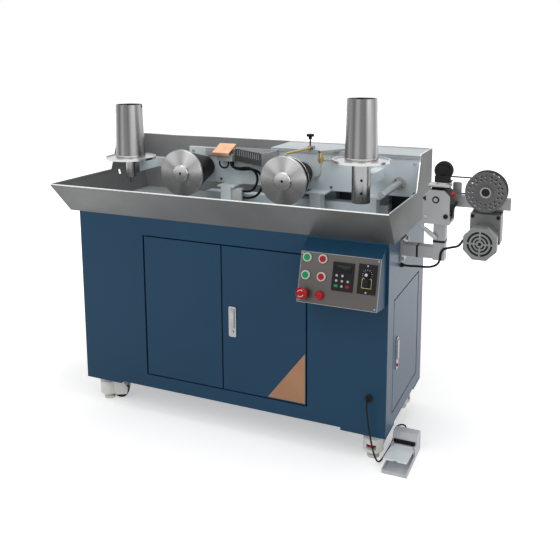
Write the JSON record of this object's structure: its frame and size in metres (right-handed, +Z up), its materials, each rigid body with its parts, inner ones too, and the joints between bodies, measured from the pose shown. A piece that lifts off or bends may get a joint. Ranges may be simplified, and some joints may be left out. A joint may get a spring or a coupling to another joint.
{
  "type": "wire drawing machine",
  "caption": "Cabinet-mounted wire drawing machine with stepped capstans, a comb die box, take-up cones, a splash tray, a control console and a side winder",
  "frame": {"origin": "On the floor under the middle of the machine's box, without the foot pedal's cord", "axes": "+X runs to the winder at the machine's right, +Y to its back, +Z up; the doors face -Y"},
  "size_m": [1.685, 0.67, 1.264],
  "materials": {
    "cabinet_paint": "blue paint, satin",
    "stainless": "brushed",
    "frame_paint": "pale blue-grey paint",
    "bright_steel": "turned and polished",
    "cone_black": "black coated, turned steps",
    "copper": "copper sheet",
    "brass": "turned",
    "machined": "machined",
    "rubber": "matt",
    "black_plastic": "matt",
    "castor_cream": "cream enamel",
    "signal_red": "moulded",
    "signal_green": "moulded",
    "pedal_paint": "grey enamel"
  },
  "bodies": {
    "cabinet": {"left_wall": "cabinet_paint", "back_wall": "cabinet_paint", "front_panels": "cabinet_paint", "front_rails": "cabinet_paint", "side_stiles": "cabinet_paint", "side_rails": "cabinet_paint", "cabinet_floor": "cabinet_paint", "control_box": "cabinet_paint", "tray_floor": "stainless", "tray_front_wall": "stainless", "tray_end_walls": "stainless", "tray_back_wall": "stainless", "control_faceplate": "stainless", "capstan_plate": "frame_paint", "drive_housing": "frame_paint", "support_frame": "frame_paint", "cone_arms": "frame_paint", "die_comb": "bright_steel", "guide_spindle": "bright_steel", "cone_bearings": "bright_steel", "valve_arm": "bright_steel", "button_bezels": "bright_steel", "copper_shield": "copper", "coolant_fittings": "brass", "die_box": "machined", "winder_arm": "machined", "winder_crossbar": "machined", "winder_motor": "machined", "traverse_frame": "machined", "coolant_hoses": "rubber", "drive_belts": "rubber", "motor_cable": "rubber", "pedal_cord": "rubber", "clamp_knob": "black_plastic", "control_modules": "black_plastic", "cord_gland": "black_plastic", "castor_housings": "castor_cream", "red_buttons": "signal_red", "castor_feet": "signal_red", "green_buttons": "signal_green", "pedal_base": "pedal_paint"},
    "left_door": {"left_door": "cabinet_paint"},
    "right_door": {"right_door": "cabinet_paint", "door_latch": "bright_steel"},
    "side_door": {"side_door": "cabinet_paint", "side_latch": "bright_steel"},
    "left_capstan": {"left_capstan_disc": "bright_steel", "left_capstan_cone": "cone_black"},
    "right_capstan": {"right_capstan_disc": "bright_steel", "right_capstan_cone": "cone_black"},
    "left_take_up": {"left_take_up_cone": "bright_steel"},
    "right_take_up": {"right_take_up_cone": "bright_steel"},
    "spool": {"winder_spool": "bright_steel"},
    "carriage": {"traverse_carriage": "black_plastic"},
    "roller": {"guide_roller": "black_plastic"},
    "treadle": {"pedal_treadle": "pedal_paint"},
    "front_left_wheel": {"front_left_wheel": "rubber"},
    "front_right_wheel": {"front_right_wheel": "rubber"},
    "rear_left_wheel": {"rear_left_wheel": "rubber"},
    "rear_right_wheel": {"rear_right_wheel": "rubber"}
  },
  "joints": [
    {"name": "left_door_hinge", "type": "hinge", "parent": "cabinet", "child": "left_door", "pos_m": [-0.4695, -0.19799, 0.449], "axis": [0, 0, -1], "range_deg": [0, 110]},
    {"name": "right_door_hinge", "type": "hinge", "parent": "cabinet", "child": "right_door", "pos_m": [0.1885, -0.19799, 0.449], "axis": [0, 0, 1], "range_deg": [0, 90]},
    {"name": "side_door_hinge", "type": "hinge", "parent": "cabinet", "child": "side_door", "pos_m": [0.4845, 0.22401, 0.372], "axis": [0, 0, 1], "range_deg": [0, 110]},
    {"name": "left_capstan_spin", "type": "hinge", "parent": "cabinet", "child": "left_capstan", "pos_m": [-0.3935, 0.03701, 0.951], "axis": [0, 1, 0], "continuous": true},
    {"name": "right_capstan_spin", "type": "hinge", "parent": "cabinet", "child": "right_capstan", "pos_m": [0.0395, 0.03701, 0.951], "axis": [0, 1, 0], "continuous": true},
    {"name": "left_take_up_spin", "type": "hinge", "parent": "cabinet", "child": "left_take_up", "pos_m": [-0.6415, -0.03099, 0.993], "axis": [0, 0, 1], "continuous": true},
    {"name": "right_take_up_spin", "type": "hinge", "parent": "cabinet", "child": "right_take_up", "pos_m": [0.3495, -0.08299, 1.046], "axis": [0, 0, 1], "continuous": true},
    {"name": "spool_spin", "type": "hinge", "parent": "cabinet", "child": "spool", "pos_m": [0.7675, -0.02299, 0.964], "axis": [0, 1, 0], "continuous": true},
    {"name": "traverse_slide", "type": "slide", "parent": "cabinet", "child": "carriage", "axis": [0, 1, 0], "range_m": [-0.018, 0.018]},
    {"name": "guide_roller_spin", "type": "hinge", "parent": "carriage", "child": "roller", "pos_m": [0.6235, -0.02299, 1.025], "axis": [0, 1, 0], "continuous": true},
    {"name": "treadle_hinge", "type": "hinge", "parent": "cabinet", "child": "treadle", "pos_m": [0.5305, -0.10999, 0.034], "axis": [1, 0, 0], "range_deg": [0, 10], "stiffness_Nm_per_rad": 4, "springref_deg": -8.59},
    {"name": "front_left_wheel_spin", "type": "hinge", "parent": "cabinet", "child": "front_left_wheel", "pos_m": [-0.66351, -0.12589, 0.033], "axis": [-0.342, 0.9397, 0], "continuous": true},
    {"name": "front_right_wheel_spin", "type": "hinge", "parent": "cabinet", "child": "front_right_wheel", "pos_m": [0.4295, -0.09299, 0.033], "axis": [-1, 0, 0], "continuous": true},
    {"name": "rear_left_wheel_spin", "type": "hinge", "parent": "cabinet", "child": "rear_left_wheel", "pos_m": [-0.6605, 0.24701, 0.033], "axis": [0, 1, 0], "continuous": true},
    {"name": "rear_right_wheel_spin", "type": "hinge", "parent": "cabinet", "child": "rear_right_wheel", "pos_m": [0.3795, 0.24701, 0.033], "axis": [0, -1, 0], "continuous": true}
  ]
}
